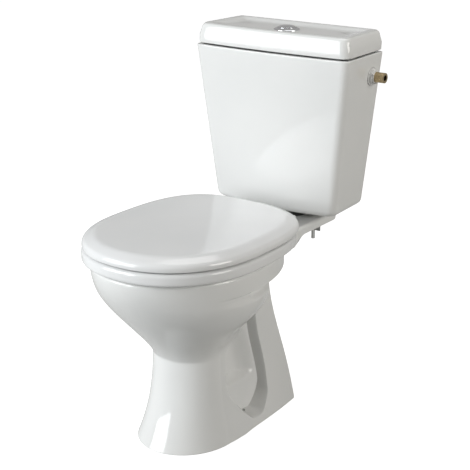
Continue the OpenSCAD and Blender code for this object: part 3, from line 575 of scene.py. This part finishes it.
def whole(half):
    """Both halves of rows of half outlines, mirrored in x = 0."""
    other = half[:, -2:0:-1] * np.array([-1.0, 1.0, 1.0])
    return np.concatenate([half, other], 1)


def pan_outer_rows():
    """Rows of the outer china: (height at the nose, height at the rear, rear edge, growth)."""
    low = rounded([(0.0, -2.5, 0), (0.0, 0.0, 2.2), (5.0, 0.0, 0)], 4, closed=False)
    z = runs(5.0, (14, 4), (30, 18), (60, 16), (128, 26), (220, 36), (256, 20), (haunch_z, 10),
             (326, 14), (352, 24))
    zs = [np.stack([low[:-1, 0], low[:-1, 0], haunch_y(low[:-1, 0]), low[:-1, 1]], 1),
          np.stack([z, z, haunch_y(z), 0 * z], 1)]
    edge = shelf_end
    under = rounded(
        [(z[-1], float(haunch_y(z[-1])), 0), (shelf_low - 0.6, haunch_reach - 4, 14),
         (shelf_low, edge, 6), (rim_z - 7, edge, 0)], 6, closed=False)
    shelf_steps = lerp(under[7], under[8], runs(0.0, (1, 5))[1:-1, None])
    under = np.concatenate([under[1:8], shelf_steps, under[8:]])
    climb = np.linspace(z[-1], rim_z - 7, len(under) + 1)[1:]
    zs.append(np.stack([climb, under[:, 0], under[:, 1], 0 * climb], 1))
    top = rounded([(rim_z - 7, 0.0, 0), (rim_z, 0.0, 6.5), (rim_z, -9.0, 0)], 6, closed=False)[1:]
    zs.append(np.stack([top[:, 0], top[:, 0], edge + 0 * top[:, 0], top[:, 1]], 1))
    return np.concatenate(zs)


def oval_half(z, half, front, back, a):
    """Half oval at the angles a, 0 at the front and pi at the back."""
    wide = -rim_wide_y + (max(0, 240 - z) * 0.35)
    reach = np.where(a < np.pi / 2, wide - front, back - wide)
    return np.stack([half * np.sin(a), wide - reach * np.cos(a), z + 0 * a], -1)


def make_pan():
    rows = pan_outer_rows()
    outer = pan_outline(*(rows[:, i:i + 1] for i in range(4)))
    mouth_half, mouth_front, mouth_back = rim_half - mouth_wall, -rim_front + mouth_wall, 30
    edge_x, edge_y = outer[-1, :, 0], outer[-1, :, 1] + rim_wide_y
    reach = np.where(edge_y < 0, -rim_wide_y - mouth_front, mouth_back + rim_wide_y)
    angles = np.arctan2(np.abs(edge_x) / mouth_half, -edge_y / reach)

    def mouth(z, inset):
        return oval_half(z, mouth_half + inset, mouth_front - inset, mouth_back + inset, angles)

    def bowl(z, back, wall=16):
        return oval_half(z, float(outer_half(np.array(z))) - wall,
                         float(outer_front(np.array(z))) + 15, back, angles)

    lip = rounded([(rim_z, 9.0, 0), (rim_z, 0.0, 7), (rim_z - 38, -2.0, 3), (rim_z - 38, 9.0, 3),
                   (rim_z - 14, 10.0, 5), (rim_z - 13, 16.0, 0)], 6, closed=False)
    inner = np.stack([mouth(z, inset) for z, inset in lip])
    flat = np.stack([lerp(outer[-1], inner[0], t) for t in (0.02, 0.1, 0.3, 0.6, 0.9, 0.98)])
    well = np.stack([bowl(rim_z - 16, mouth_back + 16), bowl(356, 47), bowl(340, 36, 30),
                     bowl(318, 22, 22), bowl(290, 14), bowl(262, 8)]
                    + [oval_half(*size, angles) for size in
                       ((240, 88, -204, 4), (222, 64, -188, -6), (205, 42, -160, -14),
                        (188, 35, -134, -20), (160, 32, -116, -26), (130, 29, -106, -34),
                        (108, 21, -94, -46))])
    grid = whole(np.concatenate([outer, flat, inner, catmull(well, 5)]))
    grid[:, 0, 0] = 0.0
    pan = mesh_object("pan_china", skin(grid, cap_first=True, cap_last=True))

    turn = np.linspace(0, 2 * np.pi, 64, endpoint=False)
    hollow = np.stack([
        np.stack([half * np.sin(turn), y - length * np.cos(turn), z + 0 * turn], -1)
        for z, half, length, y in ((-1, 88, 90, -118), (40, 78, 68, -118), (86, 69, 53, -118),
                                   (94, 63, 45, -117), (97, 50, 25, -120))])
    root, bore_r, collar_r, collar_end = 30, outlet_r - 7, outlet_r + 2, 80
    spigot = lathe(rounded([(outlet_r, root, 0), (outlet_r, outlet_end, 2),
                            (bore_r, outlet_end, 2), (bore_r, root, 0)], 4), FINE_TURN)
    collar = lathe(rounded([(collar_r, root, 0), (collar_r, collar_end, 4),
                            (outlet_r - 1, collar_end, 0), (outlet_r - 1, root, 0)], 4), FINE_TURN)
    bore = solid_lathe(rounded([(0, 0, 0), (bore_r + 0.2, 0, 0), (bore_r + 0.2, 40, 0),
                                (0, 40, 0)], 1), FINE_TURN)
    bore = moved(bore, (0, 34, outlet_z), "y")
    tilt = np.radians(50)
    way, faces = rod(29, 0, 118, 48)
    way = np.stack([way[:, 0], way[:, 1] * np.cos(tilt) + way[:, 2] * np.sin(tilt) - 62,
                    way[:, 2] * np.cos(tilt) - way[:, 1] * np.sin(tilt) + 128], 1)
    screw = rod(fixing_r, -5, 40, COARSE_TURN)
    cuts = [skin(hollow, cap_first=True, cap_last=True), bore, (way, faces)]
    cuts += [moved(screw, (side * fixing_x, 0, 0)) for side in (-1, 1)]
    bolt = rod(coupling_r, 0, 60, COARSE_TURN)
    cuts += [moved(bolt, (side * coupling_x, coupling_y, shelf_low - 20)) for side in (-1, 1)]
    cut(pan, *cuts)
    outlet = mesh_object("pan_outlet", joined(moved(spigot, (0, 0, outlet_z), "y"),
                                              moved(collar, (0, 0, outlet_z), "y")))
    place(outlet, "vitreous_china", "root")
    place(pan, "vitreous_china", "root", "pan")


make_pan()

# ---- box shapes against the wall --------------------------------------------------------------


def box_outline(z, half, depth, bow, inset, back_inset, corner, taper=6.0):
    """Half outline, front centre to back centre, of a box that stands against the wall.

    The front is the parabola y = front - bow (1 - (x / half)^2), the front corner a quarter
    circle, the side draws in by taper towards the wall.
    """
    half = half - inset
    front, back = wall_y - depth + inset, wall_y - back_inset
    t = np.linspace(0, 1, 22, endpoint=False)[None]
    x = (half - corner) * t
    face = np.stack([x, front - bow * (1 - (x / half) ** 2), z + 0 * x], -1)
    a = np.linspace(0, np.pi / 2, 9)[None]
    drop = bow * (1 - ((half - corner) / half) ** 2) * (1 - a / (np.pi / 2))
    turn = np.stack([half - corner + corner * np.sin(a),
                     front + corner * (1 - np.cos(a)) - drop, z + 0 * a], -1)
    rear = 5.0
    t = np.linspace(0, 1, 14)[None][:, 1:]
    side = np.stack([half - taper * t, lerp(front + corner, back - rear, t), z + 0 * t], -1)
    a = np.linspace(0, np.pi / 2, 6)[None][:, 1:]
    rear_turn = np.stack([half - taper - rear * (1 - np.cos(a)), back - rear * (1 - np.sin(a)),
                          z + 0 * a], -1)
    t = np.linspace(0, 1, 13)[None][:, 1:]
    back_face = np.stack([(half - taper - rear) * (1 - t), back + 0 * z + 0 * t, z + 0 * t], -1)
    return np.concatenate([face, turn, side, rear_turn, back_face], 1)


# ---- cistern ----------------------------------------------------------------------------------

cistern_z, cistern_top = cistern_low[2], cistern_high[2]
half_top, half_low = cistern_high[0], 148
depth_top, depth_low = 153, 128
bow_top, bow_low = 8, 19
china_t = 11
flush_hole_r, inlet_hole_r, inlet_face_r, button_hole_r = 33, 12.4, 19, 22.5
DRILL_TURN = 64
button_y = coupling_y
inlet_low, inlet_high = box_mm("inlet_tail")
inlet_y, inlet_z = (inlet_low[1] + inlet_high[1]) / 2, (inlet_low[2] + inlet_high[2]) / 2
flange_x = box_mm("inlet_flange_nut")[0][0]


def make_cistern():
    """Body: inset and height of the rows follow a rounded profile from the underside over the
    outer wall, the top edge and down the inner wall to the floor."""
    profile = rounded(
        [(60, cistern_z, 0), (0, cistern_z, 15), (0, cistern_z + 90, 0), (0, cistern_z + 180, 0),
         (0, cistern_top - 40, 0), (0, cistern_top, 3), (china_t, cistern_top, 3),
         (china_t, cistern_z + 200, 0), (china_t, cistern_z + 13, 12), (60, cistern_z + 13, 0)],
        7, closed=False)
    inset, z = profile[:, :1], profile[:, 1:]
    up = clamp01((z - cistern_z) / (cistern_top - cistern_z))
    inside = (np.arange(len(profile)) > 18)[:, None]
    corner = np.where(inside, 9.0, 15.0) - 0 * inset
    grid = whole(box_outline(z, lerp(half_low, half_top, up), lerp(depth_low, depth_top, up),
                             lerp(bow_low, bow_top, up), inset, inset * 0.85, corner))
    body = mesh_object("cistern_china", skin(grid, cap_first=True, cap_last=True), 50)

    def drill(radius, at, along="z"):
        return moved(rod(radius, 0, 40, DRILL_TURN), at, along)

    below = cistern_z - 12
    cut(body, drill(flush_hole_r, (0, coupling_y, below)),
        drill(coupling_r, (-coupling_x, coupling_y, below)),
        drill(coupling_r, (coupling_x, coupling_y, below)),
        drill(inlet_hole_r, (flange_x - 30, inlet_y, inlet_z), "x"),
        drill(inlet_face_r, (flange_x, inlet_y, inlet_z), "x"))
    place(body, "vitreous_china", "root", "cistern")


def make_cistern_lid():
    """Lid: rim, leaning side, rolled top edge, sloping border and a shallow tray, whose height
    is returned."""
    low, high = box_mm("cistern_lid")
    z0, z1 = low[2], high[2]
    tray = z1 - 6
    half, depth = high[0], wall_y - low[1] - bow_top
    profile = rounded(
        [(70, z1 - 18, 0), (23, z1 - 18, 8), (china_t + 1, z0 + 12, 6), (china_t, z0, 3),
         (0.3, z0, 2.5), (0, z0 + 16, 0), (5.5, z1 - 1.2, 6.5), (12, z1, 3.5), (23, z1 - 0.6, 7),
         (37, tray, 9), (70, tray, 0)], 7, closed=False)
    inset, z = profile[:, :1], profile[:, 1:]
    grow = 1 + 0 * inset
    grid = whole(box_outline(z, half * grow, depth * grow, bow_top * grow, inset, inset * 0.8,
                             lerp(17.0, 20.0, clamp01(inset / 30)) + clamp01((inset - 25) / 8) * 8))
    lid = mesh_object("cistern_lid_china", skin(grid, cap_first=True, cap_last=True), 50)
    cut(lid, moved(rod(button_hole_r, 0, 60, DRILL_TURN), (0, button_y, z0 - 5)))
    place(lid, "vitreous_china", "cistern_lid", "cistern_lid")
    return tray


make_cistern()
tray_z = make_cistern_lid()

# ---- flush button -----------------------------------------------------------------------------


def make_button():
    """Bezel and domed push button as turned profiles."""
    bezel_r, button_r = 27.5, 19.0
    bezel = lathe(rounded([(bezel_r, 0.0, 0.5), (bezel_r, 1.6, 1.2), (bezel_r - 5, 4.0, 2.5),
                           (button_r + 1.6, 4.6, 0.7), (button_r + 0.6, 4.0, 0.5),
                           (button_r + 0.6, 0.0, 0)], 6), 96)
    piece = mesh_object("button_bezel_ring", moved(bezel, (0, button_y, tray_z)), 60)
    place(piece, "chrome", "cistern_lid", "button_bezel")
    cap = solid_lathe(rounded([(0.01, -6.0, 0), (button_r, -6.0, 0.6), (button_r, 5.4, 1.6),
                               (button_r - 5, 8.2, 5.0), (0.01, 9.0, 0)], 8, closed=False), 96)
    piece = mesh_object("push_button_cap", moved(cap, (0, button_y, tray_z)), 60)
    place(piece, "chrome", "push_button", "push_button")


make_button()

# ---- seat -------------------------------------------------------------------------------------

ring_low, ring_high = box_mm("seat_ring")
seat_half, seat_c = ring_high[0], -rim_wide_y
seat_front, seat_back = seat_c - ring_low[1], 221.0
ring_z, ring_top = ring_low[2], ring_low[2] + 25.0
hinge_y, hinge_z = 118.0, rim_z + 25.0
SEAT_COLS = 240
side_power, rear_power, lid_reach = 2.18, 3.0, 14.0
knuckle_r, pin_hole_r, knuckle_room, hinge_pitch = 9, 4.1, 1.2, 155


def oval(inset, z, half, front, back, power, power_behind=2.1):
    """Closed superellipse about (0, seat_c): x = sign(s) |s|^(2/p), y = -sign(c) |c|^(2/p), with
    its own power p behind the centre."""
    a = np.linspace(0, 2 * np.pi, SEAT_COLS, endpoint=False)[None]
    s, c = np.sin(a), np.cos(a)
    share = 2 / np.where(c < 0, power_behind, power)
    x, y = np.sign(s) * np.abs(s) ** share, -np.sign(c) * np.abs(c) ** share
    reach = np.where(y < 0, front, back) - inset
    return np.stack([(half - inset) * x, seat_c + reach * y, z + 0 * x], -1)


def make_seat_ring():
    """Ring: an outer and an inner oval joined over a rounded profile of insets and heights."""
    outer = rounded([(10, ring_z, 0), (0, ring_z, 7), (0, ring_top - 1, 9), (24, ring_top, 0)], 7,
                    closed=False)
    inner = rounded([(-24, ring_top, 0), (-2, ring_top - 2, 12), (0, ring_z, 4),
                     (-10, ring_z, 0)], 7, closed=False)
    rows = [oval(outer[:, :1], outer[:, 1:], seat_half, seat_front, seat_back, side_power,
                 rear_power),
            oval(inner[:, :1], inner[:, 1:], seat_half - 66, seat_front - 60, seat_back - 86, 2.1)]
    return skin(np.concatenate(rows), loop_rows=True)


def knuckle(x0, x1, y0, z0, z1):
    """Hinge barrel along X with the arm that joins it to the seat's rear edge."""
    width = x1 - x0
    barrel = lathe(rounded([(knuckle_r, 0, 1), (knuckle_r, width, 1), (pin_hole_r, width, 0.4),
                            (pin_hole_r, 0, 0.4)], 3), 48)
    outline = rounded([(y0, z0, 0), (hinge_y - 3, z0, 2), (hinge_y - 3, z1, 2), (y0, z1, 0)], 4)
    x = runs(x0 + 0.8, (x0 + 2, 1), (x1 - 2, 3), (x1 - 0.8, 1))
    squeeze = np.where((x < x0 + 1) | (x > x1 - 1), 0.8, 0.0)[:, None]
    mid = (z0 + z1) / 2
    y, z = outline[None, :, 0], outline[None, :, 1]
    grid = np.stack([x[:, None] + 0 * y, y + 0 * squeeze, z - np.sign(z - mid) * squeeze], -1)
    arm = skin(grid, cap_first=True, cap_last=True)
    return moved(barrel, (x0, hinge_y, hinge_z), "x"), arm


def make_seat_lid():
    """Lid: skirt, side wall, broad soft bevel and a faintly crowned top over a hollow underside."""
    z0, top = ring_top + 2.0, ring_top + 27.0
    profile = rounded(
        [(120, top - 4.6, 0), (29, top - 5, 8), (6, z0 + 11, 6), (4.5, z0, 1.2), (0.6, z0, 1.4),
         (0, z0 + 6, 3), (2.4, z0 + 13.5, 6), (23, top - 1.4, 7), (60, top - 0.3, 0),
         (120, top, 0)], 8, closed=False)
    rows = oval(profile[:, :1], profile[:, 1:], seat_half - 1, seat_front - 1,
                seat_back + lid_reach, side_power, rear_power)
    return skin(rows, cap_first=True, cap_last=True)


def seat_edge(x):
    return seat_c + seat_back * (1 - (x / seat_half) ** rear_power) ** (1 / rear_power)


def make_seat():
    leaf, post, gap = 15.0, 15.0, 0.6
    post_x = hinge_pitch / 2 - post / 2
    ring_x, lid_x = post_x - gap - leaf, post_x + post + gap
    shapes = [make_seat_ring()]
    for flip in (False, True):
        rear = seat_edge(ring_x) - 12
        for shape in knuckle(ring_x, ring_x + leaf, rear, ring_z + 8, ring_z + 18):
            shapes.append(moved(shape, flip=flip))
    ring = mesh_object("seat_ring_moulding", joined(*shapes), 50)
    place(ring, "seat_plastic", "seat_ring", "seat_ring")
    room = knuckle_r + knuckle_room
    relief = box_skin((ring_x - knuckle_room, hinge_y - room, ring_top),
                      (lid_x + leaf + knuckle_room, 140, hinge_z + room))
    lid = mesh_object("seat_lid_moulding", make_seat_lid(), 50)
    cut(lid, relief, moved(relief, flip=True))
    arms = []
    for flip in (False, True):
        for shape in knuckle(lid_x, lid_x + leaf, hinge_y - 9, hinge_z + 4, hinge_z + 11):
            arms.append(moved(shape, flip=flip))
    merge(lid, mesh_object("arms", joined(*arms), 50))
    place(lid, "seat_plastic", "seat_lid", "seat_lid")


make_seat()

# ---- floor, light and camera ------------------------------------------------------------------


def make_floor():
    size = 14.0
    points = np.array([(-size, -size, 0), (size, -size, 0), (size, size, 0), (-size, size, 0)]) / MM
    floor = mesh_object("floor", (points - np.array([0, 0, 0.4]), [[0, 1, 2, 3]]))
    material = bpy.data.materials.new("pale_floor")
    material.use_nodes = True
    nodes, links = material.node_tree.nodes, material.node_tree.links
    shader = nodes["Principled BSDF"]
    shader.inputs["Base Color"].default_value = (0.34, 0.34, 0.33, 1)
    shader.inputs["Roughness"].default_value = 0.9
    shader.inputs["Specular IOR Level"].default_value = 0.0
    shader.inputs["Emission Color"].default_value = (1, 1, 1, 1)
    path = nodes.new("ShaderNodeLightPath")
    mirrored = nodes.new("ShaderNodeMath")
    mirrored.operation = "MULTIPLY"
    mirrored.inputs[1].default_value = 0.28
    seen = nodes.new("ShaderNodeMath")
    seen.operation = "ADD"
    links.new(path.outputs["Is Glossy Ray"], mirrored.inputs[0])
    links.new(mirrored.outputs["Value"], seen.inputs[0])
    links.new(path.outputs["Is Camera Ray"], seen.inputs[1])
    links.new(seen.outputs["Value"], shader.inputs["Emission Strength"])
    floor.data.materials.append(material)


def area_light(name, at, aim, size, power, color=(1, 1, 1)):
    """Rectangular light at a place, facing an aim point; distances in metres."""
    data = bpy.data.lights.new(name, "AREA")
    data.shape = "RECTANGLE"
    data.size, data.size_y = size
    data.energy = power
    data.color = color
    light = bpy.data.objects.new(name, data)
    bpy.context.collection.objects.link(light)
    light.location = at
    look_at(light, aim)


def look_at(thing, aim):
    """Turns a camera or light so that its -Z axis points at aim."""
    way = Vector(aim) - thing.location
    thing.rotation_euler = way.to_track_quat("-Z", "Y").to_euler()


def make_light():
    world = bpy.data.worlds.new("studio")
    bpy.context.scene.world = world
    world.use_nodes = True
    background = world.node_tree.nodes["Background"]
    background.inputs["Color"].default_value = (1.0, 0.985, 0.96, 1)
    nodes, links = world.node_tree.nodes, world.node_tree.links
    path, level = nodes.new("ShaderNodeLightPath"), nodes.new("ShaderNodeMapRange")
    level.inputs["To Min"].default_value = 0.07
    level.inputs["To Max"].default_value = 0.42
    links.new(path.outputs["Is Glossy Ray"], level.inputs["Value"])
    links.new(level.outputs["Result"], background.inputs["Strength"])
    area_light("key", (-1.9, -3.2, 1.5), (0, 0, 0.45), (2.6, 2.8), 160, (0.96, 0.985, 1.0))
    area_light("front", (0.9, -3.4, 2.6), (0, 0, 0.4), (1.4, 1.4), 2)
    area_light("right_fill", (3.4, 0.3, 1.5), (0, 0.1, 0.5), (1.4, 1.6), 50, (1.0, 0.975, 0.925))
    area_light("top_fill", (0.2, 0.4, 3.0), (0, 0, 0.3), (1.5, 1.5), 19)
    bpy.context.scene.view_settings.view_transform = "Standard"


def make_camera():
    data = bpy.data.cameras.new("camera")
    camera = bpy.data.objects.new("camera", data)
    bpy.context.collection.objects.link(camera)
    data.lens = 92.5
    data.shift_x, data.shift_y = 0.0211, -0.0137
    data.clip_end = 60
    camera.location = (1.3628, -1.8501, 1.1645)
    look_at(camera, (0, 0.0182, 0.4))
    bpy.context.scene.camera = camera


make_floor()
make_light()
make_camera()
